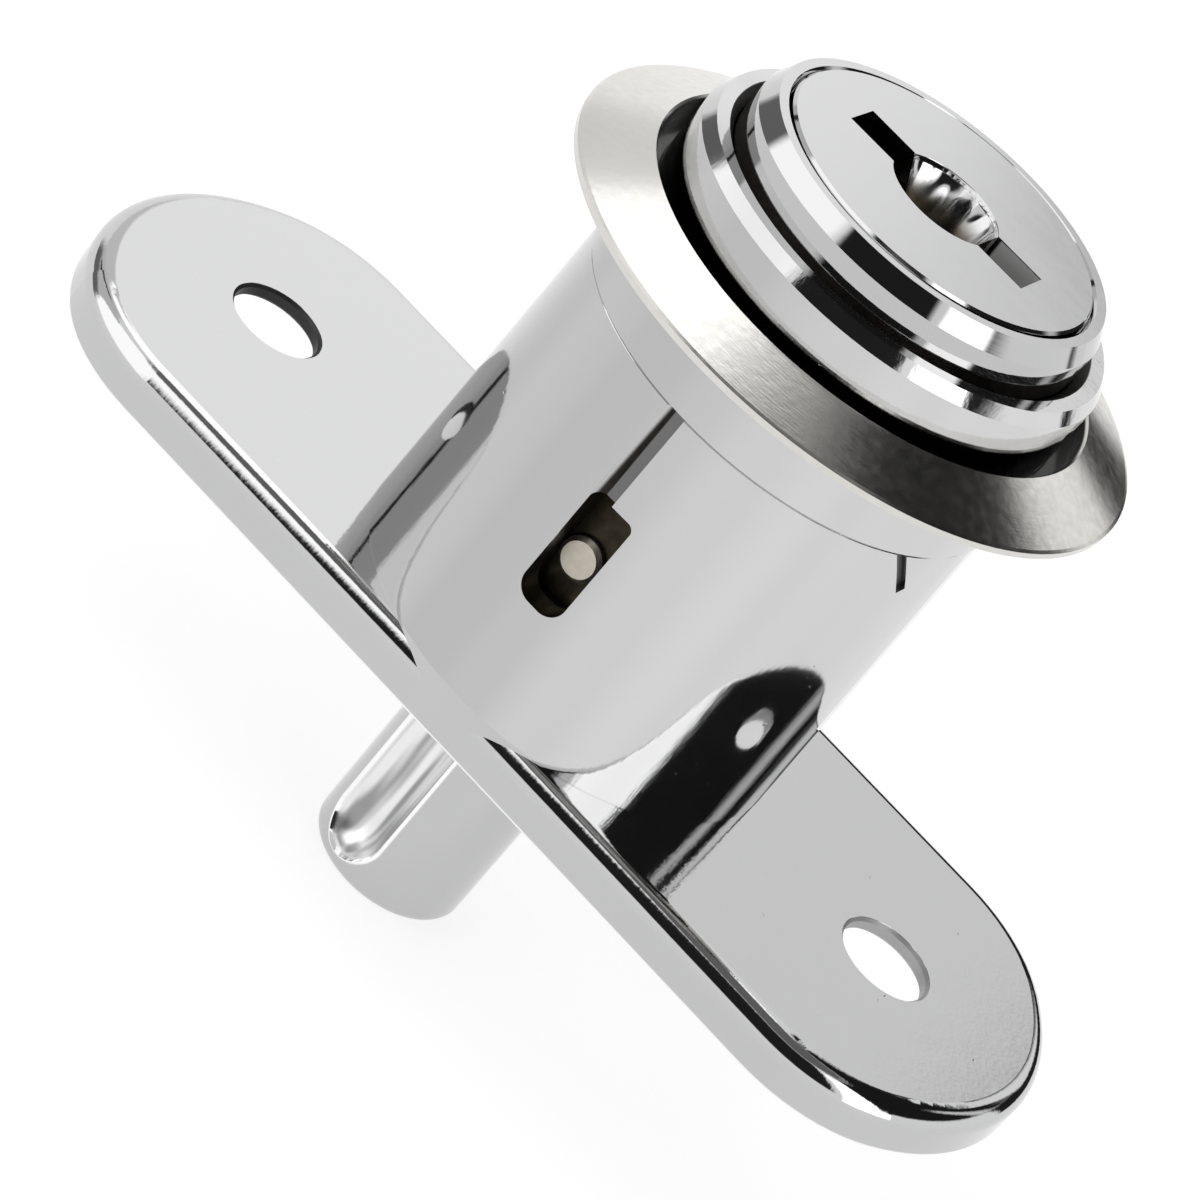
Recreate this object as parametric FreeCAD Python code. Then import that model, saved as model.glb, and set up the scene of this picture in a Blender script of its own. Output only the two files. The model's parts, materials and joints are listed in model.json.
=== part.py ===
"""Push-in cylinder lock for sliding doors, in millimetres.

The lock axis is Z. The key face looks along +Z and the bolt comes out along -Z.
The origin is on the lock axis, on the back face of the flange. The flange runs along X.
The lock is drawn pushed in, which is its locked state: the bolt is out, and the detent's
nose stands in the housing's slot on the -Y side.
"""

import FreeCAD, Part
import math
import os

Vector = FreeCAD.Vector
X_AXIS = Vector(1, 0, 0)
Y_AXIS = Vector(0, 1, 0)
Z_AXIS = Vector(0, 0, 1)
ORIGIN = Vector(0, 0, 0)

# --- strokes -------------------------------------------------------------------------
barrel_travel = 8.0
detent_travel = 1.3
wafer_travel = 0.5
slide_gap = 0.05

# How far a cutter runs past the surface that it cuts, and how far pieces sink into each other.
overrun = 1.0

# --- flange --------------------------------------------------------------------------
flange_length = 57.2
flange_width = 21.8
flange_thickness = 2.5
flange_nose_radius = 12.5
flange_corner_radius = 8.0
flange_top_round = 1.0
flange_bottom_round = 0.25
screw_spacing = 40.0
screw_hole_radius = 2.25
screw_hole_chamfer = 0.15
back_recess_depth = 1.75
back_recess_rim = 1.7
back_recess_start = 13.0

# --- housing tube --------------------------------------------------------------------
tube_base_radius = 11.0
tube_radius_at_collar = 10.68
collar_bottom = 19.45
collar_step = 0.08
collar_line_depth = 0.12
collar_line_height = 0.14
collar_top = 23.2
neck_radius = 10.45
housing_top = 27.65
rim_slope_width = 0.35
rim_slope_height = 0.6
bore_radius = 9.0
bore_chamfer = 0.45

# --- slot, groove and slit on the housing --------------------------------------------
slot_width = 2.4
slot_offset = 0.1
slot_bottom = 8.2
slot_top = 14.2
slot_bottom_corner = 0.9
slot_top_corner = 0.4
groove_left = -1.1
groove_right = -0.05
groove_slope_width = 0.45
groove_depth = 0.35
slit_angle = -24.0
slit_height = 18.5
slit_length = 3.0
slit_width = 0.45
slit_depth = 0.35
slit_lean = 40.0

# --- rosette -------------------------------------------------------------------------
rosette_rim_radius = 14.4
rosette_rim_top = 23.72
rosette_rim_thickness = 0.36
rosette_mouth_radius = 11.2
rosette_mouth_top = 25.0
rosette_floor = 23.85
rosette_wall = 0.55
rosette_lip = 0.12
rosette_rim_chamfer = 0.15
rosette_fit_gap = 0.02

# --- barrel --------------------------------------------------------------------------
barrel_radius = bore_radius - slide_gap
barrel_bottom = 6.5
barrel_top = 29.85
barrel_slope_width = 0.45
barrel_slope_height = 0.85
plug_bore_radius = 6.0
head_recess_radius = 7.9
head_recess_bottom = 28.35
head_recess_chamfer = 0.12
web_bottom = 13.15
web_top = 14.4
clip_room_radius = 4.3
clip_window_bottom = 12.2
clip_room_overlap = 0.5
wafer_groove_depth = 0.7
wafer_groove_width = 4.8

# --- key plug ------------------------------------------------------------------------
plug_radius = 5.95
plug_head_radius = 7.8
plug_head_top = 29.95
plug_head_chamfer = 0.12
plug_neck_radius = 3.0
plug_neck_end = 11.95
clip_groove_radius = 2.5
clip_groove_bottom = 12.4
clip_groove_top = 13.05
clip_fit_gap = 0.02
clip_side_gap = 0.2
keyway_length = 10.2
keyway_width = 2.2
keyway_bottom = 15.0
key_dimple_radius = 2.75
key_dimple_depth = 2.0
key_hole_radius = 1.9
crank_pin_radius = 0.8
crank_offset = detent_travel
crank_pin_end = 9.5

# --- wafers and their springs --------------------------------------------------------
wafer_count = 6
wafer_first = 16.4
wafer_pitch = 1.8
wafer_thickness = 1.0
wafer_width = 4.4
wafer_window_length = 8.4
wafer_window_width = 2.6
wafer_ear_length = 1.0
wafer_ear_reach = 1.1
wafer_side_gap = 0.05
spring_pocket_reach = 3.6
wafer_spring_radius = 0.3
wafer_spring_wire = 0.09
wafer_spring_turns = 5

# --- detent --------------------------------------------------------------------------
detent_height = 10.5
detent_thickness = 2.3
detent_width = 6.4
detent_front = -6.8
detent_back = 5.0
detent_nose_radius = 1.05
detent_nose_tip = -9.4
detent_nose_chamfer = 0.2
detent_nose_root = 0.5
detent_window_gap = 0.1
detent_lost_motion = 0.32
detent_spring_floor = 3.0
detent_spring_hole_radius = 0.9
detent_spring_radius = 0.6
detent_spring_wire = 0.14
detent_spring_turns = 6
detent_cap_front = 7.2
detent_cap_back = 8.0

# --- bolt ----------------------------------------------------------------------------
bolt_radius = 3.95
bolt_hole_radius = 4.0
bolt_end = -13.2
bolt_end_round = 0.6
bolt_spigot_radius = 2.5
bolt_spigot_top = 8.9
bolt_pin_radius = 0.75
bolt_pin_height = 7.65
bolt_pin_end_gap = 0.15
bolt_groove_angle = -110.0
bolt_groove_radius = 2.2
bolt_groove_width = 3.35
bolt_groove_end = -12.2
bolt_groove_top = 4.5

# --- return spring and guide pin -----------------------------------------------------
spring_boss_radius = 4.85
spring_room_radius = 6.75
spring_room_top = 8.8
return_spring_radius = 5.75
return_spring_wire = 0.4
return_spring_turns = 4
guide_pin_angle = 45.0
guide_pin_height = 17.5
guide_pin_radius = 1.0
guide_pin_tip = 7.9
guide_groove_floor = 7.75


def cylinder(radius, bottom, top, x=0.0, y=0.0):
    """Upright cylinder between two heights."""
    return Part.makeCylinder(radius, top - bottom, Vector(x, y, bottom), Z_AXIS)


def block(x_range, y_range, z_range):
    """Box between two limits on each axis."""
    corner = Vector(x_range[0], y_range[0], z_range[0])
    return Part.makeBox(
        x_range[1] - x_range[0],
        y_range[1] - y_range[0],
        z_range[1] - z_range[0],
        corner,
    )


def turned(profile):
    """Solid turned about the lock axis from a closed outline of (radius, height) points."""
    points = [Vector(radius, 0, height) for radius, height in profile]
    face = Part.Face(Part.makePolygon(points + points[:1]))
    return face.revolve(ORIGIN, Z_AXIS, 360)


def spun(shape, degrees):
    """Copy of a shape turned about the lock axis."""
    copy = shape.copy()
    copy.rotate(ORIGIN, Z_AXIS, degrees)
    return copy


def edges_at_height(shape, height):
    """Edges that lie flat at one height."""
    box = [(edge, edge.BoundBox) for edge in shape.Edges]
    return [e for e, b in box if abs(b.ZMin - height) < 1e-4 and abs(b.ZMax - height) < 1e-4]


def chamfer_cutter(radius, size, height, x=0.0, y=0.0, upwards=True):
    """Cone that breaks the edge of an upright hole at the given height."""
    if upwards:
        return Part.makeCone(radius, radius + size, size, Vector(x, y, height - size), Z_AXIS)
    return Part.makeCone(radius + size, radius, size, Vector(x, y, height), Z_AXIS)


def coil(radius, wire_radius, length, turns):
    """Open compression spring that stands on the origin along Z."""
    rise = length - 2 * wire_radius
    helix = Part.makeLongHelix(rise / turns, rise, radius)
    section = Part.Wire(Part.makeCircle(wire_radius, Vector(radius, 0, 0), Y_AXIS))
    spring = Part.Wire(helix.Edges).makePipeShell([section], True, True)
    spring.translate(Vector(0, 0, wire_radius))
    return spring


def detent_slot_cutter():
    """Upright slot through the tube's -Y wall, rounder at its bottom than at its top."""
    left = slot_offset - slot_width / 2
    outside = tube_base_radius + overrun
    cutter = block((left, left + slot_width), (-outside, 0), (slot_bottom, slot_top))
    across = [edge for edge in cutter.Edges if edge.BoundBox.YLength > outside / 2]
    bottom = [edge for edge in across if edge.BoundBox.ZMax < (slot_bottom + slot_top) / 2]
    cutter = cutter.makeFillet(slot_bottom_corner, bottom)
    top = [
        edge
        for edge in cutter.Edges
        if edge.BoundBox.YLength > outside / 2 and edge.BoundBox.ZMin > slot_top - slot_top_corner
    ]
    return cutter.makeFillet(slot_top_corner, top)


def groove_cutter():
    """Groove in the wall from the slot up to the collar, with a sloping left side."""
    outside = -(tube_base_radius + overrun)
    floor = -(tube_radius_at_collar - groove_depth)
    surface = -tube_radius_at_collar
    slope_foot = groove_left + groove_slope_width
    bottom = slot_top - slot_top_corner
    outline = [
        Vector(groove_left, outside, bottom),
        Vector(groove_left, surface, bottom),
        Vector(slope_foot, floor, bottom),
        Vector(groove_right, floor, bottom),
        Vector(groove_right, outside, bottom),
    ]
    face = Part.Face(Part.makePolygon(outline + outline[:1]))
    return face.extrude(Vector(0, 0, collar_bottom - bottom))


def flange_outline():
    """Closed outline of the flange: straight sides, round corners and a flatter nose."""
    half_length = flange_length / 2
    half_width = flange_width / 2
    nose_centre = half_length - flange_nose_radius
    corner_y = half_width - flange_corner_radius
    reach = flange_nose_radius - flange_corner_radius
    corner_x = nose_centre + math.sqrt(reach**2 - corner_y**2)
    turn = math.atan2(corner_y, corner_x - nose_centre)

    def corner_point(angle):
        return Vector(
            corner_x + flange_corner_radius * math.cos(angle),
            corner_y + flange_corner_radius * math.sin(angle),
            0,
        )

    def mirrored(point, x_sign, y_sign):
        return Vector(point.x * x_sign, point.y * y_sign, 0)

    side_end = corner_point(math.pi / 2)
    corner_middle = corner_point((math.pi / 2 + turn) / 2)
    nose_start = corner_point(turn)
    nose_tip = Vector(half_length, 0, 0)
    edges = []
    for x_sign in (1, -1):
        for y_sign in (1, -1):
            corner = [mirrored(p, x_sign, y_sign) for p in (side_end, corner_middle, nose_start)]
            edges.append(Part.Arc(*corner).toShape())
        ends = (mirrored(nose_start, x_sign, 1), mirrored(nose_start, x_sign, -1))
        edges.append(Part.Arc(ends[0], mirrored(nose_tip, x_sign, 1), ends[1]).toShape())
    for y_sign in (1, -1):
        ends = (mirrored(side_end, 1, y_sign), mirrored(side_end, -1, y_sign))
        edges.append(Part.makeLine(*ends))
    return Part.Wire(Part.__sortEdges__(edges))


def flange():
    """Flat fixing flange with rounded edges, before its holes are made."""
    plate = Part.Face(flange_outline()).extrude(Vector(0, 0, flange_thickness))
    plate = plate.makeFillet(flange_top_round, edges_at_height(plate, flange_thickness))
    return plate.makeFillet(flange_bottom_round, edges_at_height(plate, 0.0))


def back_recess_cutter():
    """Shallow recess in the back of both wings, so that only a thin web is left there."""
    inside = Part.Face(flange_outline().makeOffset2D(-back_recess_rim))
    recess = inside.extrude(Vector(0, 0, back_recess_depth + overrun))
    recess.translate(Vector(0, 0, -overrun))
    return recess.cut(cylinder(back_recess_start, -2 * overrun, flange_thickness))


def tube():
    """Outside of the housing tube, solid: tapered wall, line, collar, neck and sloped rim."""
    collar_radius = tube_radius_at_collar + collar_step
    profile = [
        (0, flange_bottom_round),
        (tube_base_radius, flange_bottom_round),
        (tube_base_radius, flange_thickness),
        (tube_radius_at_collar, collar_bottom - collar_line_height),
        (tube_radius_at_collar - collar_line_depth, collar_bottom),
        (collar_radius, collar_bottom),
        (collar_radius, collar_top),
        (neck_radius, collar_top),
        (neck_radius, housing_top - rim_slope_height),
        (neck_radius - rim_slope_width, housing_top),
        (0, housing_top),
    ]
    return turned(profile)


def slit_cutter():
    """Short slanting slit just under the collar."""
    cutter = block(
        (tube_radius_at_collar - slit_depth, tube_base_radius + overrun),
        (-slit_width / 2, slit_width / 2),
        (-slit_length / 2, slit_length / 2),
    )
    cutter.rotate(ORIGIN, X_AXIS, slit_lean)
    cutter.translate(Vector(0, 0, slit_height))
    below_collar = cylinder(tube_base_radius + 2 * overrun, slit_height - slit_length, collar_bottom)
    return spun(cutter, slit_angle).common(below_collar)


def housing():
    """Flange and tube in one casting, bored for the barrel and the bolt."""
    solid = flange().fuse(tube())
    cutters = [
        cylinder(bore_radius, flange_thickness, housing_top + overrun),
        chamfer_cutter(bore_radius, bore_chamfer, housing_top),
        cylinder(bolt_hole_radius, -overrun, flange_thickness + overrun),
        detent_slot_cutter(),
        groove_cutter(),
        slit_cutter(),
        back_recess_cutter(),
    ]
    for side in (1, -1):
        x = side * screw_spacing / 2
        cutters.append(cylinder(screw_hole_radius, -overrun, flange_thickness + overrun, x))
        cutters.append(chamfer_cutter(screw_hole_radius, screw_hole_chamfer, flange_thickness, x))
        back_edge = chamfer_cutter(
            screw_hole_radius, screw_hole_chamfer, back_recess_depth, x, upwards=False
        )
        cutters.append(back_edge)
    pin_hole = Part.makeCylinder(guide_pin_radius, tube_base_radius, ORIGIN, X_AXIS)
    pin_hole.translate(Vector(bore_radius - overrun, 0, guide_pin_height))
    cutters.append(spun(pin_hole, guide_pin_angle))
    return solid.cut(cutters).removeSplitter()


def guide_pin():
    """Pin pressed into the housing wall that keys the barrel and stops it coming out."""
    length = tube_radius_at_collar - guide_pin_tip
    pin = Part.makeCylinder(guide_pin_radius, length, ORIGIN, X_AXIS)
    pin.translate(Vector(guide_pin_tip, 0, guide_pin_height))
    return spun(pin, guide_pin_angle)


def rosette():
    """Conical cover ring that sits on the neck, hollow underneath."""
    rim_bottom = rosette_rim_top - rosette_rim_thickness
    inner_radius = neck_radius + rosette_fit_gap
    web_radius = rosette_mouth_radius + rosette_wall
    profile = [
        (inner_radius, collar_top),
        (web_radius, collar_top),
        (web_radius, rosette_mouth_top - 2 * rosette_wall),
        (rosette_rim_radius - 2 * rosette_rim_chamfer, rim_bottom),
        (rosette_rim_radius, rim_bottom + rosette_rim_chamfer / 2),
        (rosette_rim_radius, rosette_rim_top),
        (rosette_rim_radius - rosette_rim_chamfer, rosette_rim_top + rosette_rim_chamfer / 2),
        (rosette_mouth_radius + rosette_lip, rosette_mouth_top),
        (rosette_mouth_radius, rosette_mouth_top - rosette_lip),
        (rosette_mouth_radius, rosette_floor),
        (inner_radius, rosette_floor),
    ]
    return turned(profile)


def barrel():
    """Push-in barrel: holds the plug on top, the detent across it and the bolt below."""
    profile = [
        (0, barrel_bottom),
        (barrel_radius, barrel_bottom),
        (barrel_radius, barrel_top - barrel_slope_height),
        (barrel_radius - barrel_slope_width, barrel_top),
        (0, barrel_top),
    ]
    solid = turned(profile)
    cutters = plug_seat_cutters() + detent_seat_cutters() + bolt_seat_cutters() + [guide_groove()]
    return solid.cut(cutters).removeSplitter()


def plug_seat_cutters():
    """Bores for the plug's head, body and neck, and grooves for wafers that stand out."""
    groove_reach = plug_bore_radius + wafer_groove_depth
    wafer_room = cylinder(groove_reach, wafer_first - overrun, wafer_height(wafer_count) + overrun)
    wafer_band = block(
        (-groove_reach, groove_reach),
        (-wafer_groove_width / 2, wafer_groove_width / 2),
        (web_top, head_recess_bottom),
    )
    return [
        cylinder(plug_bore_radius, web_top, barrel_top + overrun),
        cylinder(head_recess_radius, head_recess_bottom, barrel_top + overrun),
        chamfer_cutter(head_recess_radius, head_recess_chamfer, barrel_top),
        wafer_room.common(wafer_band),
        cylinder(plug_neck_radius + slide_gap, web_bottom - overrun, web_top + overrun),
    ]


def detent_seat_cutters():
    """Cross slot for the detent, the hole for its nose and the room for the plug's clip."""
    bottom = detent_height - detent_thickness / 2 - slide_gap
    top = detent_height + detent_thickness / 2 + slide_gap
    half_slot = detent_width / 2 + slide_gap
    back = barrel_radius + overrun
    nose_hole = Part.makeCylinder(detent_nose_radius + slide_gap, barrel_radius, ORIGIN, -Y_AXIS)
    nose_hole.translate(Vector(0, detent_front + overrun, detent_height))
    clip_window = (clip_window_bottom, web_bottom)
    return [
        cylinder(clip_room_radius, top - clip_room_overlap, web_bottom),
        block((-clip_room_radius, clip_room_radius), (0, back), clip_window),
        block((-half_slot, half_slot), (detent_front - slide_gap, back), (bottom, top)),
        nose_hole,
    ]


def bolt_seat_cutters():
    """Room for the return spring round a boss, and the bolt's spigot hole and pin hole."""
    spring_room = cylinder(spring_room_radius, barrel_bottom - overrun, spring_room_top)
    boss = cylinder(spring_boss_radius, barrel_bottom - 2 * overrun, spring_room_top + overrun)
    return [
        spring_room.cut(boss),
        cylinder(bolt_spigot_radius, barrel_bottom - overrun, bolt_spigot_top),
        bolt_pin_shape(2 * spring_boss_radius),
    ]


def guide_groove():
    """Blind groove in the barrel's side that the guide pin runs in."""
    reach = guide_pin_radius + slide_gap
    top = guide_pin_height + reach + slide_gap
    bottom = guide_pin_height - barrel_travel - reach - slide_gap
    outside = barrel_radius + overrun
    groove = block((guide_groove_floor, outside), (-reach, reach), (bottom + reach, top - reach))
    for height in (bottom + reach, top - reach):
        round_end = Part.makeCylinder(reach, outside - guide_groove_floor, ORIGIN, X_AXIS)
        round_end.translate(Vector(guide_groove_floor, 0, height))
        groove = groove.fuse(round_end)
    return spun(groove, guide_pin_angle)


def keyway_cutter():
    """Two-winged keyway with a round centre hole and a conical lead-in."""
    wings = block(
        (-keyway_length / 2, keyway_length / 2),
        (-keyway_width / 2, keyway_width / 2),
        (keyway_bottom, plug_head_top + overrun),
    )
    dimple = Part.makeCone(
        key_hole_radius,
        key_dimple_radius,
        key_dimple_depth,
        Vector(0, 0, plug_head_top - key_dimple_depth),
        Z_AXIS,
    )
    return wings.fuse([cylinder(key_hole_radius, keyway_bottom, plug_head_top), dimple])


def wafer_height(number):
    """Height of the middle of a wafer, counted from 1 at the bolt end."""
    return wafer_first + (number - 1) * wafer_pitch


def wafer_side(number):
    """Side that a wafer springs towards: +1 or -1 along X, turn and turn about."""
    return 1 if number % 2 else -1


def wafer_room_in_plug(number):
    """Slot through the plug for one wafer, with a pocket for its ear and spring."""
    half_thick = wafer_thickness / 2 + wafer_side_gap
    heights = (wafer_height(number) - half_thick, wafer_height(number) + half_thick)
    half_wide = wafer_width / 2 + wafer_side_gap
    through = plug_radius + overrun
    slot = block((-through, through), (-half_wide, half_wide), heights)
    pocket = block(
        (-spring_pocket_reach, spring_pocket_reach),
        (0, half_wide + wafer_ear_reach),
        heights,
    )
    return slot.fuse(pocket)


def key_plug():
    """Plug that the key turns: head, wafer slots, neck, clip groove and crank pin."""
    head = cylinder(plug_head_radius, head_recess_bottom + slide_gap, plug_head_top)
    head = head.makeChamfer(plug_head_chamfer, edges_at_height(head, plug_head_top))
    body = cylinder(plug_radius, web_top + slide_gap, head_recess_bottom + overrun)
    neck = cylinder(plug_neck_radius, plug_neck_end, web_top + overrun)
    clip_ring = cylinder(plug_neck_radius + overrun, clip_groove_bottom, clip_groove_top)
    neck = neck.cut(clip_ring.cut(cylinder(clip_groove_radius, plug_neck_end, web_top)))
    crank_pin = cylinder(crank_pin_radius, crank_pin_end, plug_neck_end + overrun, -crank_offset)
    solid = head.fuse([body, neck, crank_pin])
    cutters = [keyway_cutter()]
    cutters += [wafer_room_in_plug(number) for number in range(1, wafer_count + 1)]
    return solid.cut(cutters).removeSplitter()


def wafer(number):
    """Brass wafer: slides along X in the plug, with a window that the key passes through."""
    half_thick = wafer_thickness / 2
    heights = (wafer_height(number) - half_thick, wafer_height(number) + half_thick)
    half_wide = wafer_width / 2
    blank = block((-plug_radius, plug_radius), (-half_wide, half_wide), heights)
    blank = blank.common(cylinder(plug_radius - wafer_side_gap, *heights))
    ear_middle = -wafer_side(number) * (spring_pocket_reach - wafer_travel - wafer_ear_length)
    ear = block(
        (ear_middle - wafer_ear_length / 2, ear_middle + wafer_ear_length / 2),
        (0, half_wide + wafer_ear_reach - wafer_side_gap),
        heights,
    )
    window = block(
        (-wafer_window_length / 2, wafer_window_length / 2),
        (-wafer_window_width / 2, wafer_window_width / 2),
        heights,
    )
    centre_hole = cylinder(key_hole_radius, *heights)
    return blank.fuse(ear).cut([window, centre_hole]).removeSplitter()


def wafer_spring(number):
    """Small spring between a wafer's ear and the end of its pocket in the plug."""
    side = wafer_side(number)
    ear_middle = -side * (spring_pocket_reach - wafer_travel - wafer_ear_length)
    start = -side * spring_pocket_reach
    length = abs(ear_middle - start) - wafer_ear_length / 2
    spring = coil(wafer_spring_radius, wafer_spring_wire, length, wafer_spring_turns)
    spring.rotate(ORIGIN, Y_AXIS, side * 90)
    spring.translate(Vector(start, wafer_width / 2 + wafer_ear_reach / 2, wafer_height(number)))
    return spring


def plug_clip():
    """Open retaining clip on the plug's neck, under the barrel's web."""
    heights = (clip_groove_bottom + clip_fit_gap, clip_groove_top - clip_fit_gap)
    ring = cylinder(clip_room_radius - clip_side_gap, *heights)
    opening = block((-clip_groove_radius, clip_groove_radius), (-clip_room_radius, 0), heights)
    return ring.cut([cylinder(clip_groove_radius, *heights), opening])


def detent():
    """Sliding detent: nose at the front, window for the crank pin, spring hole behind."""
    half_thick = detent_thickness / 2
    heights = (detent_height - half_thick, detent_height + half_thick)
    half_wide = detent_width / 2
    plate = block((-half_wide, half_wide), (detent_front, detent_back), heights)
    nose = Part.makeCylinder(detent_nose_radius, detent_front + detent_nose_root - detent_nose_tip)
    nose = nose.makeChamfer(detent_nose_chamfer, edges_at_height(nose, nose.BoundBox.ZMax))
    nose.rotate(ORIGIN, X_AXIS, 90)
    nose.translate(Vector(0, detent_front + detent_nose_root, detent_height))
    side_room = crank_pin_radius + detent_window_gap
    window = block(
        (-crank_offset - side_room, side_room),
        (-side_room, crank_pin_radius + detent_lost_motion),
        heights,
    )
    spring_hole = Part.makeCylinder(detent_spring_hole_radius, detent_back, ORIGIN, Y_AXIS)
    spring_hole.translate(Vector(0, detent_spring_floor, detent_height))
    return plate.fuse(nose).cut([window, spring_hole]).removeSplitter()


def detent_spring():
    """Spring that pushes the detent out, between the detent and its cap."""
    length = detent_cap_front - detent_spring_floor
    spring = coil(detent_spring_radius, detent_spring_wire, length, detent_spring_turns)
    spring.rotate(ORIGIN, X_AXIS, -90)
    spring.translate(Vector(0, detent_spring_floor, detent_height))
    return spring


def detent_cap():
    """Cap that closes the detent's slot and backs its spring."""
    half_wide = detent_width / 2 + slide_gap
    half_thick = detent_thickness / 2 + slide_gap
    return block(
        (-half_wide, half_wide),
        (detent_cap_front, detent_cap_back),
        (detent_height - half_thick, detent_height + half_thick),
    )


def bolt_pin_shape(length):
    """Cross pin through the barrel's boss and the bolt's spigot."""
    pin = Part.makeCylinder(bolt_pin_radius, length, ORIGIN, X_AXIS)
    pin.translate(Vector(-length / 2, 0, bolt_pin_height))
    return pin


def bolt():
    """Round bolt with a spigot, and a round-bottomed groove along one side."""
    shank = cylinder(bolt_radius, bolt_end, barrel_bottom)
    shank = shank.makeFillet(bolt_end_round, edges_at_height(shank, bolt_end))
    spigot = cylinder(bolt_spigot_radius, barrel_bottom - overrun, bolt_spigot_top)
    solid = shank.fuse(spigot)
    return solid.cut([bolt_groove_cutter(), bolt_pin_shape(2 * spring_boss_radius)]).removeSplitter()


def bolt_groove_cutter():
    """Round bar with ball ends that cuts the bolt's groove to its width at the surface."""
    half_width = bolt_groove_width / 2
    edge_distance = math.sqrt(bolt_radius**2 - half_width**2)
    axis_distance = edge_distance + math.sqrt(bolt_groove_radius**2 - half_width**2)
    low = bolt_groove_end + half_width
    high = bolt_groove_top - half_width
    bar = cylinder(bolt_groove_radius, low, high, axis_distance)
    ends = [Part.makeSphere(bolt_groove_radius, Vector(axis_distance, 0, z)) for z in (low, high)]
    return spun(bar.fuse(ends), bolt_groove_angle)


def bolt_pin():
    """Pin that holds the bolt to the barrel."""
    return bolt_pin_shape(2 * (spring_boss_radius - bolt_pin_end_gap))


def return_spring():
    """Spring round the bolt that pushes the barrel out."""
    length = spring_room_top - flange_thickness
    spring = coil(return_spring_radius, return_spring_wire, length, return_spring_turns)
    spring.translate(Vector(0, 0, flange_thickness))
    return spring


def all_pieces():
    """Every piece of the lock by its node name."""
    pieces = {
        "housing": housing(),
        "rosette": rosette(),
        "guide_pin": guide_pin(),
        "return_spring": return_spring(),
        "barrel": barrel(),
        "bolt": bolt(),
        "bolt_pin": bolt_pin(),
        "detent": detent(),
        "detent_spring": detent_spring(),
        "detent_cap": detent_cap(),
        "key_plug": key_plug(),
        "plug_clip": plug_clip(),
    }
    for number in range(1, wafer_count + 1):
        pieces[f"wafer_{number}"] = wafer(number)
        pieces[f"wafer_spring_{number}"] = wafer_spring(number)
    return pieces


os.makedirs("parts", exist_ok=True)
for node, shape in all_pieces().items():
    shape.exportStep(f"parts/{node}.step")
    state = "valid" if shape.isValid() else "INVALID"
    print(node, state, "solids", len(shape.Solids), "mm3", round(shape.Volume, 2))
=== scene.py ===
"""Looks of the push-in cylinder lock: mirror chrome castings, a satin rosette and brass insides."""

import json
import math

import bmesh
import bpy
from mathutils import Matrix, Vector


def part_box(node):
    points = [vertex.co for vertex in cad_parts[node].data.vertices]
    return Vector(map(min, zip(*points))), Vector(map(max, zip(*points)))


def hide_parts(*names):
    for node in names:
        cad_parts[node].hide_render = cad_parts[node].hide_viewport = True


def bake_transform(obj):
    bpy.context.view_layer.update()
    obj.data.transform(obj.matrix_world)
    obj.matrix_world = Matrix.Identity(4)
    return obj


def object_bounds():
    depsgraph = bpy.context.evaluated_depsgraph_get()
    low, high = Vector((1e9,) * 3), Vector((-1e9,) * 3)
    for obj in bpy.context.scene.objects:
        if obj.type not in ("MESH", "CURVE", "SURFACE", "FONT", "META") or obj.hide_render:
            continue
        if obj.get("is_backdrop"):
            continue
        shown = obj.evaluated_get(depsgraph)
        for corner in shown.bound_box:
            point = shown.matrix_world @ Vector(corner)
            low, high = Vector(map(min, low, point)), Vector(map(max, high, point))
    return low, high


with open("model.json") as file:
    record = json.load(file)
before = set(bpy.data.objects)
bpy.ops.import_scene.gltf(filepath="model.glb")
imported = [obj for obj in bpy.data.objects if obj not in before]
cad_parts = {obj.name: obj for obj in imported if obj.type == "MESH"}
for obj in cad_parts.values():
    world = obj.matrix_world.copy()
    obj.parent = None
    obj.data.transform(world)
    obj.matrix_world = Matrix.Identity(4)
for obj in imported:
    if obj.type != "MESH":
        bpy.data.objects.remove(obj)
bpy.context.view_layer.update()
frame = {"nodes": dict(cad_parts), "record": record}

MM = 0.001

# --- camera ----------------------------------------------------------------------------
camera_azimuth = 12.15
camera_elevation = 29.15
camera_roll = 40.3
camera_distance = 205.08 * MM
camera_side_shift = -6.14 * MM
camera_rise_shift = -6.94 * MM
camera_target = Vector((0, 0, 15.2 * MM))
camera_lens = 142.07
camera_near = 1 * MM
sensor_width = 36.0

# --- floor -----------------------------------------------------------------------------
floor_size = 3.0
floor_grey = 0.32
floor_roughness = 0.8
floor_glow = 0.76

# --- studio: azimuth, elevation, width and height in degrees, soft edge, brightness -------
# Azimuth is measured from +X towards +Y. Elevation is above the horizon.
studio_base = 1.1
studio_panels = {
    "left_wing_tone": (110, 26, 18, 20, 6, 1.32),
    "right_wing_tone": (90, 26, 22, 20, 8, 1.0),
    "back_wall": (122, 58, 38, 44, 6, 1.9),
    "left_wall": (-148, 40, 72, 66, 8, 1.8),
    "front_strip": (-20, 28, 30, 72, 4, 2.6),
    "left_grey": (131, 30, 30, 22, 5, 0.85),
    "left_flag": (163, 34, 36, 36, 4, 0.75),
    "left_strip": (155, 32, 4, 26, 2, 0.03),
    "low_left_flag": (166, 4, 34, 26, 8, 0.2),
    "back_low_flag": (76, 10.5, 50, 22, 4, 0.02),
    "side_flag": (43, 45, 98, 48, 6, 0.015),
    "side_flag_foot": (76, 25, 26, 7, 5, 0.16),
    "side_glow": (51, 32, 9, 22, 7, 0.9),
    "rosette_glow": (78, 27, 18, 22, 5, 1.1),
    "camera_flag": (-75, 41, 66, 54, 5, 0.02),
    "overhead_flag": (0, 90, 361, 42, 6, 0.18),
}

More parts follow.
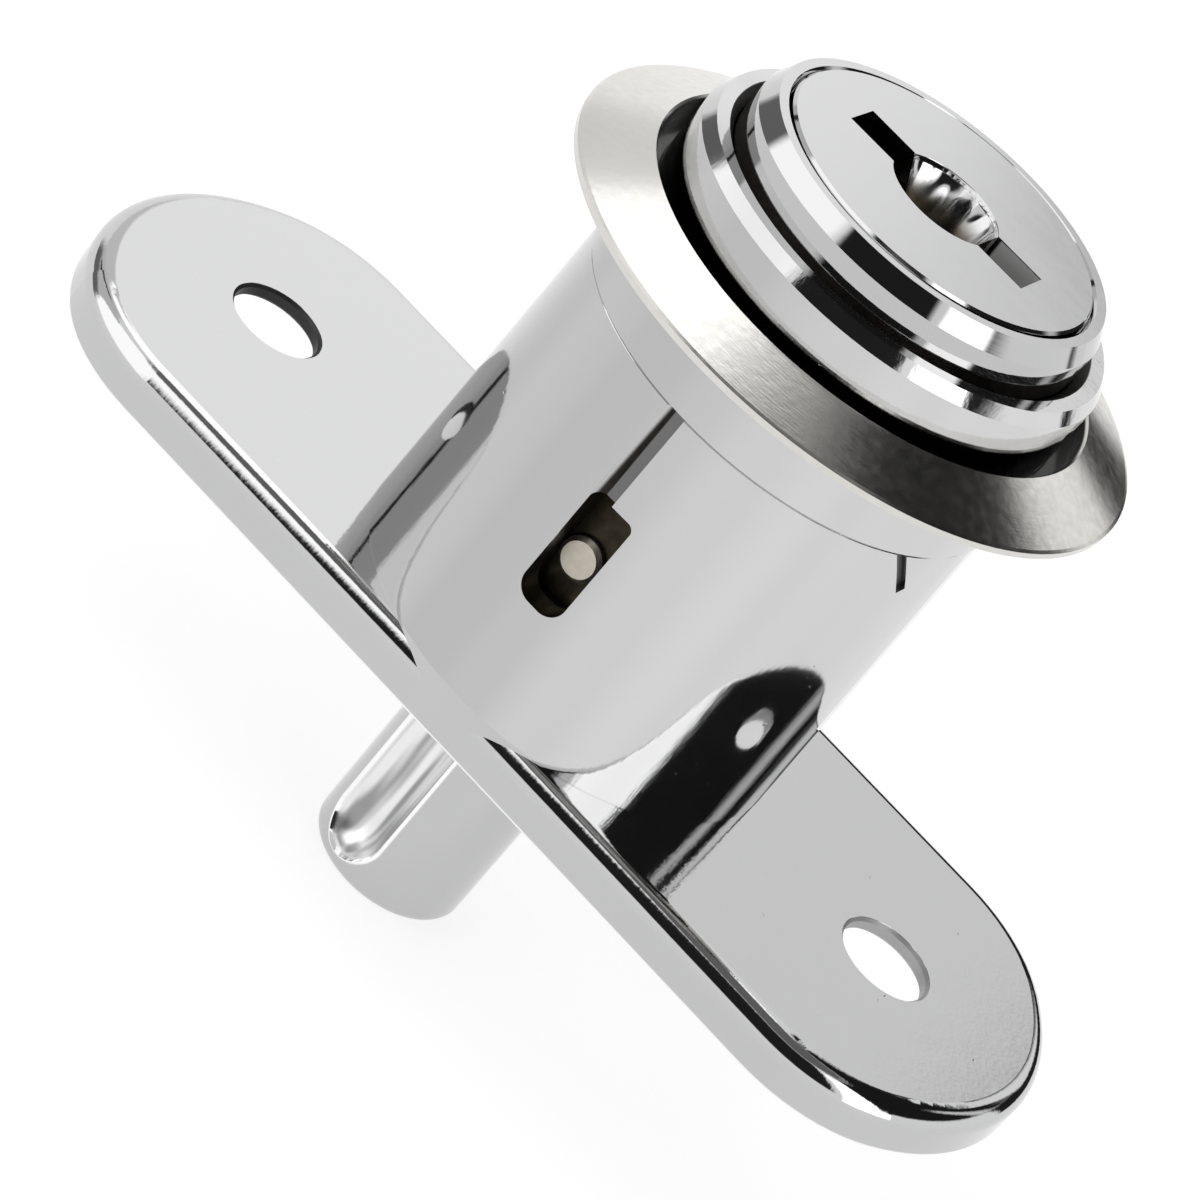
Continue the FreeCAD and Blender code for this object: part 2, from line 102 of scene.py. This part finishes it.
# --- finishes: reflectance as red, green, blue and alpha, or as one grey level --------------
chrome_reflectance = (0.53, 0.53, 0.535, 1.0)
turned_reflectance = (0.50, 0.50, 0.505, 1.0)
# Tube: painted shade on its left side, painted light on its right side.
tube_shade_grey = 0.46
tube_light_grey = 0.64
# Painted highlight on the sharp edges of the flange foot and the bolt's groove.
edge_highlight_grey = 0.97
# Painted shade in the slot, groove, slit and bore.
recess_shade_dark = (0.012, 0.011, 0.010, 1.0)
recess_shade_light = (0.05, 0.045, 0.04, 1.0)
# Lighter painted shade on the groove's floor, right of its darker painted left wall.
groove_floor_shade_grey = 0.17
# Bolt groove: painted shade and painted highlight, in streaks.
bolt_groove_shade_grey = 0.33
bolt_groove_highlight_grey = 0.84
# Screw hole walls: painted shade on the left hole, painted light on the right one.
left_hole_shade_grey = 0.05
right_hole_light_grey = 0.42
# Barrel wall below barrel_wall_top: near-black base colour, mottled.
barrel_wall_dark = (0.012, 0.010, 0.008, 1.0)
barrel_wall_light = (0.06, 0.05, 0.035, 1.0)
# Painted shade deep in the keyway.
keyway_shade_dark = (0.020, 0.018, 0.016, 1.0)
keyway_shade_light = (0.14, 0.12, 0.09, 1.0)
# Painted light on the keyway's right wing.
lit_wing_grey = 0.55
nickel_warm = (0.62, 0.60, 0.56, 1.0)
nickel_cool = (0.74, 0.735, 0.72, 1.0)
nickel_mottle = (0.55, 0.54, 0.51, 1.0)
# Painted shade inside the rosette's mouth.
mouth_shade_black = (0.012, 0.012, 0.011, 1.0)

# Bare metals of the inside: dark tone, light tone, roughness range and size of the grain.
worked_metals = {
    "detent_metal": ((0.40, 0.36, 0.29, 1.0), (0.68, 0.64, 0.57, 1.0), (0.30, 0.55), 0.35 * MM),
    "raw_zinc": ((0.34, 0.35, 0.36, 1.0), (0.48, 0.49, 0.50, 1.0), (0.4, 0.6), 0.6 * MM),
    "spring_steel": ((0.38, 0.38, 0.39, 1.0), (0.55, 0.55, 0.56, 1.0), (0.18, 0.32), 0.3 * MM),
    "wafer_brass": ((0.62, 0.45, 0.18, 1.0), (0.80, 0.62, 0.30, 1.0), (0.2, 0.38), 0.4 * MM),
}

# Length of pattern per radian round the rosette. It's short, so the brushing runs along the ring.
brush_per_radian = 1.2 * MM

# Roughness: the range over each clean surface, and what its dull places add to that.
cast_haze = (0.03, 0.085)
turned_haze = (0.02, 0.07)
face_haze = (0.04, 0.10)
nickel_haze = (0.10, 0.26)
recess_dullness = 0.4
bolt_groove_dullness = 0.32
hole_dullness = 0.45
barrel_wall_dullness = 0.35
keyway_dullness = 0.25
lit_wing_dullness = 0.6

# Widths over which one finish fades into the next.
hairline = 0.02 * MM
crisp = 0.03 * MM
fine = 0.05 * MM
soft = 0.1 * MM
wide = 0.3 * MM

# --- places on the lock where the finish changes ------------------------------------------
tube_base_height = 2.5 * MM
tube_base_radius = 11.0 * MM
tube_taper = 0.32 / 16.95
tube_shade_left = -4.0 * MM
tube_shade_right = 8.0 * MM
tube_light_share = 0.65
tube_band_share = 0.35
recess_bottom = 7.9 * MM
recess_foot_end = 1.6 * MM
recess_shallow = 0.06 * MM
recess_deep = 0.22 * MM
collar_height = 19.45 * MM
slot_top = 14.2 * MM
slot_top_fade = 0.15 * MM
groove_shade_edge = -0.65 * MM
groove_shade_fade = 0.04 * MM
bore_mouth_radius = 9.45 * MM
barrel_wall_top = 19.0 * MM
barrel_wall_full = 18.6 * MM
mouth_radius = 11.2 * MM
mouth_fade = 0.06 * MM
face_height = 29.95 * MM
keyway_shade_start = 0.5 * MM
keyway_shade_full = 1.6 * MM
lit_wing_depth = 0.08 * MM
lit_wing_reach = 5.8 * MM
lit_wing_end = 6.0 * MM
dimple_radius = 2.75 * MM
bolt_radius = 3.95 * MM
bolt_groove_top_fade = 0.5 * MM
bolt_groove_end = -12.3 * MM
bolt_groove_angle = math.radians(-110.0)
bolt_groove_half_width = 1.72 * MM
screw_spacing = 40.0 * MM
screw_hole_radius = 2.42 * MM
flange_foot_radius = 9.5 * MM
flange_foot_full = 9.8 * MM
edge_highlight_width = 0.24 * MM
edge_highlight_full = 0.12 * MM
right_wing_start = 1.0 * MM

# --- springs: wire radius and turns ------------------------------------------------------
return_wire = (0.4 * MM, 4)
detent_wire = (0.14 * MM, 6)
wafer_wire = (0.09 * MM, 5)
wafer_count = 6
steps_per_turn = 28
wire_sides = 10


class Tree:
    """Small helper that adds nodes to a node tree and links them."""

    def __init__(self, owner):
        owner.use_nodes = True
        self.tree = owner.node_tree
        self.tree.nodes.clear()

    def add(self, kind, inputs=None, **settings):
        node = self.tree.nodes.new(kind)
        for name, value in settings.items():
            setattr(node, name, value)
        for name, value in (inputs or {}).items():
            self.feed(node, name, value)
        return node

    def feed(self, node, name, value):
        socket = node.inputs[name]
        if isinstance(value, bpy.types.NodeSocket):
            self.tree.links.new(value, socket)
        else:
            socket.default_value = value

    def math(self, operation, a, b=0.0, c=0.0):
        node = self.add("ShaderNodeMath", {0: a, 1: b, 2: c}, operation=operation)
        return node.outputs[0]

    def smooth_step(self, value, low, high):
        """0 at low, 1 at high, smooth between; low may be the greater of the two."""
        node = self.add(
            "ShaderNodeMapRange",
            {"Value": value, "From Min": low, "From Max": high},
            interpolation_type="SMOOTHSTEP",
        )
        return node.outputs["Result"]

    def spread(self, value, low, high):
        """Stretch a 0 to 1 value over a range."""
        node = self.add("ShaderNodeMapRange", {"Value": value, "To Min": low, "To Max": high})
        return node.outputs["Result"]

    def mix_colour(self, share, first, second):
        node = self.add("ShaderNodeMix", {"Factor": share, 6: first, 7: second}, data_type="RGBA")
        return node.outputs[2]

    def place(self):
        """Object coordinates, and the same as separate x, y and z."""
        vector = self.add("ShaderNodeTexCoord").outputs["Object"]
        return vector, self.add("ShaderNodeSeparateXYZ", {0: vector}).outputs

    def radius(self, x, y):
        squares = self.math("ADD", self.math("MULTIPLY", x, x), self.math("MULTIPLY", y, y))
        return self.math("SQRT", squares)

    def noise(self, vector, size, detail=3.0, stretch=(1.0, 1.0, 1.0)):
        """Cloudy 0 to 1 pattern with features of the given size, longer where stretch is over 1."""
        scale = [1 / (size * s) for s in stretch]
        scaled = self.add("ShaderNodeVectorMath", {0: vector, 1: scale}, operation="MULTIPLY")
        node = self.add(
            "ShaderNodeTexNoise", {"Vector": scaled.outputs[0], "Scale": 1.0, "Detail": detail}
        )
        return node.outputs[0]

    def bump(self, height, distance, under=None):
        inputs = {"Height": height, "Distance": distance, "Strength": 1.0}
        if under is not None:
            inputs["Normal"] = under
        return self.add("ShaderNodeBump", inputs).outputs[0]


def grey(level):
    return (level, level, level, 1.0)


def studio():
    """Bright surroundings with a few soft panels and dark flags, fixed in the row frame."""
    world = bpy.data.worlds.new("studio")
    bpy.context.scene.world = world
    t = Tree(world)
    direction = t.add("ShaderNodeTexCoord").outputs["Generated"]
    x, y, z = t.add("ShaderNodeSeparateXYZ", {0: direction}).outputs
    elevation = t.math("ARCSINE", z)
    azimuth = t.math("ARCTAN2", y, x)
    level = grey(studio_base)
    for where in studio_panels.values():
        middle, height_angle, width, height, soft, brightness = where
        turn = t.math("SUBTRACT", azimuth, math.radians(middle))
        turn = t.math("WRAP", turn, math.pi, -math.pi)
        across = t.math("ABSOLUTE", turn)
        up = t.math("ABSOLUTE", t.math("SUBTRACT", elevation, math.radians(height_angle)))
        half_width = math.radians(width / 2)
        half_height = math.radians(height / 2)
        edge = math.radians(soft / 2)
        inside = t.math(
            "MULTIPLY",
            t.smooth_step(across, half_width + edge, half_width - edge),
            t.smooth_step(up, half_height + edge, half_height - edge),
        )
        level = t.mix_colour(inside, level, grey(brightness))
    background = t.add("ShaderNodeBackground", {"Color": level})
    t.add("ShaderNodeOutputWorld", {"Surface": background.outputs[0]})


def material(name):
    """New material with an empty tree, a shader and an output."""
    made = bpy.data.materials.new(name)
    t = Tree(made)
    shader = t.add("ShaderNodeBsdfPrincipled")
    t.add("ShaderNodeOutputMaterial", {"Surface": shader.outputs[0]})
    return made, t, shader


def both(t, *shares):
    """1 only where every share is 1."""
    product = shares[0]
    for share in shares[1:]:
        product = t.math("MULTIPLY", product, share)
    return product


def tube_recess(t, radius, z):
    """1 inside the tube's slot, groove and slit; 0 on the open wall."""
    drop = t.math("MULTIPLY", t.math("SUBTRACT", z, tube_base_height), tube_taper)
    depth = t.math("SUBTRACT", t.math("SUBTRACT", tube_base_radius, drop), radius)
    under_wall = t.smooth_step(depth, recess_shallow, recess_deep)
    above_foot = t.smooth_step(z, recess_bottom + wide, recess_bottom + recess_foot_end)
    below_collar = t.smooth_step(z, collar_height + crisp, collar_height - crisp)
    return both(t, under_wall, above_foot, below_collar)


def bore_inside(t, radius, z):
    """1 in the housing's bore and on the slope at its mouth."""
    near_axis = t.smooth_step(radius, bore_mouth_radius, bore_mouth_radius - fine)
    above_flange = t.smooth_step(z, tube_base_height - fine, tube_base_height + fine)
    return both(t, near_axis, above_flange)


def bolt_groove_inside(t, radius, z):
    """1 in the groove along the bolt, under the flange."""
    deep = t.smooth_step(radius, bolt_radius - crisp, bolt_radius - wide)
    below_flange = t.smooth_step(z, bolt_groove_top_fade, 0.0)
    above_end = t.smooth_step(z, bolt_groove_end - soft, bolt_groove_end + soft)
    return both(t, deep, below_flange, above_end)


def screw_hole_wall(t, x, y, z):
    """1 on the walls of both screw holes and their small chamfers."""
    beside = t.math("SUBTRACT", t.math("ABSOLUTE", x), screw_spacing / 2)
    distance = t.radius(beside, y)
    in_hole = t.smooth_step(distance, screw_hole_radius, screw_hole_radius - crisp)
    return both(t, in_hole, t.smooth_step(z, tube_base_height, tube_base_height - hairline))


def painted_edge_highlights(t, x, y, z):
    """1 where a painted highlight goes on the sharp edges: flange foot and rim of the bolt's groove.
    The mask also takes in the flat underside beyond flange_foot_full.
    """
    far_out = t.smooth_step(t.radius(x, y), flange_foot_radius, flange_foot_full)
    foot = t.smooth_step(z, edge_highlight_width, edge_highlight_full)
    angle = t.math("SUBTRACT", t.math("ARCTAN2", y, x), bolt_groove_angle)
    across = t.math("MULTIPLY", angle, bolt_radius)
    round_centre = bolt_groove_end + bolt_groove_half_width
    past_end = t.math("MAXIMUM", t.math("SUBTRACT", round_centre, z), 0.0)
    distance = t.radius(across, past_end)
    rim_outside = bolt_groove_half_width + edge_highlight_width
    rim_full = bolt_groove_half_width + edge_highlight_full
    groove_rim_highlight = both(
        t,
        t.smooth_step(distance, bolt_groove_half_width - soft, bolt_groove_half_width),
        t.smooth_step(distance, rim_outside, rim_full),
        t.smooth_step(z, 0.0, -soft),
        t.smooth_step(t.radius(x, y), bolt_radius + wide, bolt_radius + soft),
    )
    return t.math("MAXIMUM", both(t, far_out, foot), groove_rim_highlight)


def tube_tone_and_light(t, vector, x, z):
    """Reflectance of the casting: even on the flange; on the tube, random bands, painted light on its
    right side and painted shade on its left.
    """
    streaks = t.noise(vector, size=4.5 * MM, detail=1.0, stretch=(1.0, 1.0, 30.0))
    bands = t.smooth_step(streaks, low=0.35, high=0.65)
    # Painted light and shade: the tube's colour is lighter towards +x and darker towards -x.
    light_to_right = t.smooth_step(x, tube_shade_left, tube_shade_right)
    share = t.math("MULTIPLY", light_to_right, tube_light_share)
    share = t.math("ADD", share, t.math("MULTIPLY", bands, tube_band_share))
    tube_colour = t.mix_colour(share, grey(tube_shade_grey), grey(tube_light_grey))
    on_tube = t.smooth_step(z, tube_base_height, tube_base_height + soft)
    return t.mix_colour(on_tube, chrome_reflectance, tube_colour)


def chrome_cast():
    """Mirror chrome over a die casting: waves, polishing marks along the axis, a few pits."""
    made, t, shader = material("chrome_cast")
    vector, (x, y, z) = t.place()
    radius = t.radius(x, y)
    recess = tube_recess(t, radius, z)
    shaded_recess = t.math("MAXIMUM", recess, bore_inside(t, radius, z))
    channel = bolt_groove_inside(t, radius, z)
    hole = screw_hole_wall(t, x, y, z)
    colour = t.mix_colour(channel, tube_tone_and_light(t, vector, x, z), bolt_groove_painted_streaks(t, vector))
    # Painted highlight on the sharp edges.
    colour = t.mix_colour(painted_edge_highlights(t, x, y, z), colour, grey(edge_highlight_grey))
    # Painted shade in the recesses.
    colour = t.mix_colour(shaded_recess, colour, recess_painted_shade(t, vector, x, z, recess))
    # Painted shade on the left screw hole's wall, painted light on the right one's.
    right_wing = t.smooth_step(x, 0.0, right_wing_start)
    hole_shade_and_light = t.mix_colour(right_wing, grey(left_hole_shade_grey), grey(right_hole_light_grey))
    t.feed(shader, "Base Color", t.mix_colour(hole, colour, hole_shade_and_light))
    shader.inputs["Metallic"].default_value = 1.0
    haze = t.spread(t.noise(vector, size=3.0 * MM, detail=5.0), *cast_haze)
    in_recess = t.math("MULTIPLY", shaded_recess, recess_dullness)
    in_channel = t.math("MULTIPLY", channel, bolt_groove_dullness)
    in_hole = t.math("MULTIPLY", hole, hole_dullness)
    worn = t.math("MAXIMUM", t.math("MAXIMUM", in_recess, in_channel), in_hole)
    t.feed(shader, "Roughness", t.math("ADD", haze, worn))
    waves = t.bump(t.noise(vector, size=2.4 * MM, detail=2.0), distance=0.008 * MM)
    marks = t.noise(vector, size=0.24 * MM, detail=2.0, stretch=(1.0, 1.0, 6.0))
    marked = t.bump(marks, distance=0.0030 * MM, under=waves)
    pits = t.smooth_step(t.noise(vector, size=0.4 * MM, detail=1.0), low=0.76, high=0.84)
    t.feed(shader, "Normal", t.bump(pits, distance=-0.004 * MM, under=marked))
    return made


def recess_painted_shade(t, vector, x, z, recess):
    """Painted shade in the slot and bore, near black and mottled, with a lighter painted shade on the
    floor of the groove above the slot.
    """
    dark_inside = t.mix_colour(t.noise(vector, size=0.5 * MM), recess_shade_dark, recess_shade_light)
    # The groove's floor gets a lighter painted shade than its left wall.
    shaded_groove_floor = both(
        t,
        t.smooth_step(x, groove_shade_edge - groove_shade_fade, groove_shade_edge + groove_shade_fade),
        t.smooth_step(z, slot_top - slot_top_fade, slot_top + fine),
        recess,
    )
    return t.mix_colour(shaded_groove_floor, dark_inside, grey(groove_floor_shade_grey))


def bolt_groove_painted_streaks(t, vector):
    """Painted shade in the groove along the bolt, in streaks mixed with painted highlight."""
    streaks = t.noise(vector, size=0.7 * MM, detail=1.0, stretch=(1.0, 1.0, 12.0))
    share = t.smooth_step(streaks, low=0.35, high=0.62)
    return t.mix_colour(share, grey(bolt_groove_shade_grey), grey(bolt_groove_highlight_grey))


def chrome_turned():
    """Mirror chrome of the barrel: very fine rings, slow waves, and a dark wall inside the tube."""
    made, t, shader = material("chrome_turned")
    vector, (_, _, z) = t.place()
    shader.inputs["Metallic"].default_value = 1.0
    # The barrel's travel never brings this part of its wall out of the tube.
    hidden_wall = t.smooth_step(z, barrel_wall_top, barrel_wall_full)
    # Below barrel_wall_top the wall's base colour turns near black.
    dark_inside = t.mix_colour(t.noise(vector, size=0.6 * MM), barrel_wall_dark, barrel_wall_light)
    t.feed(shader, "Base Color", t.mix_colour(hidden_wall, turned_reflectance, dark_inside))
    haze = t.spread(t.noise(vector, size=2.0 * MM, detail=4.0), *turned_haze)
    dullness = t.math("MULTIPLY", hidden_wall, barrel_wall_dullness)
    t.feed(shader, "Roughness", t.math("ADD", haze, dullness))
    waves = t.bump(t.noise(vector, size=2.8 * MM, detail=2.0), distance=0.006 * MM)
    rings = t.noise(vector, size=0.12 * MM, detail=2.0, stretch=(60.0, 60.0, 1.0))
    t.feed(shader, "Normal", t.bump(rings, distance=0.0005 * MM, under=waves))
    return made


def chrome_face():
    """Mirror chrome of the key face, streaked round its centre hole, with painted shade deep in the
    keyway and painted light on the keyway's right wing.
    """
    made, t, shader = material("chrome_face")
    vector, (x, y, z) = t.place()
    radius = t.radius(x, y)
    shader.inputs["Metallic"].default_value = 1.0
    # Painted shade: the keyway darkens with depth below the face.
    deep = t.smooth_step(z, face_height - keyway_shade_start, face_height - keyway_shade_full)
    dark_inside = t.mix_colour(t.noise(vector, size=0.6 * MM), keyway_shade_dark, keyway_shade_light)
    colour = t.mix_colour(deep, turned_reflectance, dark_inside)
    # Painted light on the right wing of the keyway.
    lit_wing = both(
        t,
        t.smooth_step(x, dimple_radius - soft, dimple_radius + soft),
        t.smooth_step(z, face_height - hairline, face_height - lit_wing_depth),
        t.smooth_step(radius, lit_wing_end, lit_wing_reach),
    )
    t.feed(shader, "Base Color", t.mix_colour(lit_wing, colour, grey(lit_wing_grey)))
    haze = t.spread(t.noise(vector, size=2.6 * MM, detail=5.0), *face_haze)
    in_keyway = t.math("MULTIPLY", deep, keyway_dullness)
    on_wing = t.math("MULTIPLY", lit_wing, lit_wing_dullness)
    t.feed(shader, "Roughness", t.math("ADD", haze, t.math("MAXIMUM", in_keyway, on_wing)))
    waves = t.bump(t.noise(vector, size=2.2 * MM, detail=2.0), distance=0.004 * MM)
    grained = t.bump(t.noise(vector, size=0.10 * MM, detail=2.0), distance=0.0004 * MM, under=waves)
    in_dimple = both(
        t,
        t.smooth_step(radius, dimple_radius + hairline, dimple_radius - soft),
        t.smooth_step(z, face_height - hairline, face_height - soft),
    )
    streaks = t.noise(vector, size=1.3 * MM, detail=0.0, stretch=(1.0, 1.0, 2.5))
    relief = t.math("MULTIPLY", streaks, in_dimple)
    t.feed(shader, "Normal", t.bump(relief, distance=0.8 * MM, under=grained))
    return made


def satin_nickel():
    """Satin nickel of the rosette: brushed round the ring, mottled, painted black as shade inside its
    mouth.
    """
    made, t, shader = material("satin_nickel")
    vector, (x, y, _) = t.place()
    radius = t.radius(x, y)
    along_ring = t.math("MULTIPLY", t.math("ARCTAN2", y, x), brush_per_radian)
    ring = t.add("ShaderNodeCombineXYZ", {0: radius, 1: along_ring, 2: 0.0})
    brush = t.noise(ring.outputs[0], size=0.09 * MM, detail=4.0)
    mottle = t.noise(vector, size=0.45 * MM, detail=6.0)
    warm = t.noise(vector, size=7.0 * MM, detail=2.0)
    nickel = t.mix_colour(warm, nickel_warm, nickel_cool)
    nickel = t.mix_colour(t.spread(mottle, low=-0.2, high=0.5), nickel, nickel_mottle)
    # Painted shade: black inside the mouth.
    shaded_mouth = t.smooth_step(radius, mouth_radius + mouth_fade, mouth_radius - hairline)
    t.feed(shader, "Base Color", t.mix_colour(shaded_mouth, nickel, mouth_shade_black))
    shader.inputs["Metallic"].default_value = 1.0
    t.feed(shader, "Roughness", t.spread(mottle, *nickel_haze))
    rough = t.bump(mottle, distance=0.0035 * MM)
    t.feed(shader, "Normal", t.bump(brush, distance=0.0020 * MM, under=rough))
    return made


def worked_metal(name, dark, light, roughness, grain):
    """Bare metal with a mottled tone and a fine grain."""
    made, t, shader = material(name)
    vector = t.place()[0]
    mottle = t.noise(vector, size=grain, detail=5.0)
    t.feed(shader, "Base Color", t.mix_colour(mottle, dark, light))
    shader.inputs["Metallic"].default_value = 1.0
    t.feed(shader, "Roughness", t.spread(mottle, *roughness))
    t.feed(shader, "Normal", t.bump(mottle, distance=0.01 * MM))
    return made


def all_materials():
    """One material for each slot of the record."""
    made = {
        "chrome_cast": chrome_cast(),
        "chrome_turned": chrome_turned(),
        "chrome_face": chrome_face(),
        "satin_nickel": satin_nickel(),
    }
    for name, finish in worked_metals.items():
        made[name] = worked_metal(name, *finish)
    return made


def paint(materials):
    """Give every CAD node the material of its slot."""
    for part in frame["record"]["subparts"]:
        node = frame["nodes"][part["node"]]
        node.data.materials.clear()
        node.data.materials.append(materials[part["material_slot"]])


def coil_mesh(name, start, end, radius, wire, turns):
    """Round wire wound from start to end, with flat ends to the wire."""
    along = (end - start).normalized()
    across = along.orthogonal().normalized()
    third = along.cross(across)
    first = start + along * wire
    rise = (end - start).length - 2 * wire
    count = turns * steps_per_turn
    points = []
    for step in range(count + 1):
        share = step / count
        angle = 2 * math.pi * turns * share
        outward = across * math.cos(angle) + third * math.sin(angle)
        centre = first + along * (rise * share) + outward * radius
        for side in range(wire_sides):
            turn = 2 * math.pi * side / wire_sides
            points.append(centre + outward * (wire * math.cos(turn)) + along * (wire * math.sin(turn)))
    faces = []
    for step in range(count):
        low = step * wire_sides
        for side in range(wire_sides):
            after = (side + 1) % wire_sides
            faces.append((low + side, low + after, low + wire_sides + after, low + wire_sides + side))
    faces.append(tuple(reversed(range(wire_sides))))
    faces.append(tuple(range(count * wire_sides, (count + 1) * wire_sides)))
    mesh = bpy.data.meshes.new(name)
    mesh.from_pydata(points, [], faces)
    shape = bmesh.new()
    shape.from_mesh(mesh)
    bmesh.ops.recalc_face_normals(shape, faces=shape.faces)
    shape.to_mesh(mesh)
    shape.free()
    mesh.shade_smooth()
    return mesh


def spring(node, axis, backwards, wire_and_turns, finish):
    """Spring that stretches between two bodies, in the place of a CAD spring."""
    wire, turns = wire_and_turns
    low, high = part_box(node)
    middle = (low + high) / 2
    start = middle.copy()
    end = middle.copy()
    start[axis] = high[axis] if backwards else low[axis]
    end[axis] = low[axis] if backwards else high[axis]
    widths = [high[i] - low[i] for i in range(3) if i != axis]
    radius = max(widths) / 2 - wire
    mesh = coil_mesh(f"{node}_coil", start, end, radius, wire, turns)
    mesh.materials.append(finish)
    piece = bpy.data.objects.new(f"{node}_coil", mesh)
    bpy.context.scene.collection.objects.link(piece)
    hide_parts(node)
    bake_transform(piece)


def springs(finish):
    """All the springs of the lock; each starts on the body that it stands on."""
    spring("return_spring", 2, False, return_wire, finish)
    spring("detent_spring", 1, True, detent_wire, finish)
    for number in range(1, wafer_count + 1):
        pushes_left = number % 2 == 0
        spring(f"wafer_spring_{number}", 0, pushes_left, wafer_wire, finish)


def floor():
    """Plain pale floor under the bolt's end, with a soft glow that keeps the shadow light."""
    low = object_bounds()[0]
    half = floor_size / 2
    mesh = bpy.data.meshes.new("floor")
    corners = [(-half, -half, 0), (half, -half, 0), (half, half, 0), (-half, half, 0)]
    mesh.from_pydata(corners, [], [(0, 1, 2, 3)])
    plane = bpy.data.objects.new("floor", mesh)
    plane.location.z = low.z
    bpy.context.scene.collection.objects.link(plane)
    made, _, shader = material("floor")
    shader.inputs["Base Color"].default_value = grey(floor_grey)
    shader.inputs["Roughness"].default_value = floor_roughness
    shader.inputs["Emission Color"].default_value = grey(1.0)
    shader.inputs["Emission Strength"].default_value = floor_glow
    mesh.materials.append(made)
    plane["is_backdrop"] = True


def camera():
    """Long lens, looking down at the lock, rolled so that the lock leans."""
    a = math.radians(camera_azimuth)
    e = math.radians(camera_elevation)
    roll = math.radians(camera_roll)
    back = Vector((math.sin(a) * math.cos(e), -math.cos(a) * math.cos(e), math.sin(e)))
    level_right = Vector((math.cos(a), math.sin(a), 0))
    level_up = back.cross(level_right)
    right = math.cos(roll) * level_right + math.sin(roll) * level_up
    up = -math.sin(roll) * level_right + math.cos(roll) * level_up
    place = camera_target + back * camera_distance
    place += right * camera_side_shift + up * camera_rise_shift
    data = bpy.data.cameras.new("camera")
    data.lens = camera_lens
    data.sensor_width = sensor_width
    data.clip_start = camera_near
    made = bpy.data.objects.new("camera", data)
    made.matrix_world = Matrix.Translation(place) @ Matrix((right, up, back)).transposed().to_4x4()
    bpy.context.scene.collection.objects.link(made)
    bpy.context.scene.camera = made


bpy.context.scene.view_settings.view_transform = "Standard"
camera()
studio()
floor()
finishes = all_materials()
paint(finishes)
springs(finishes["spring_steel"])
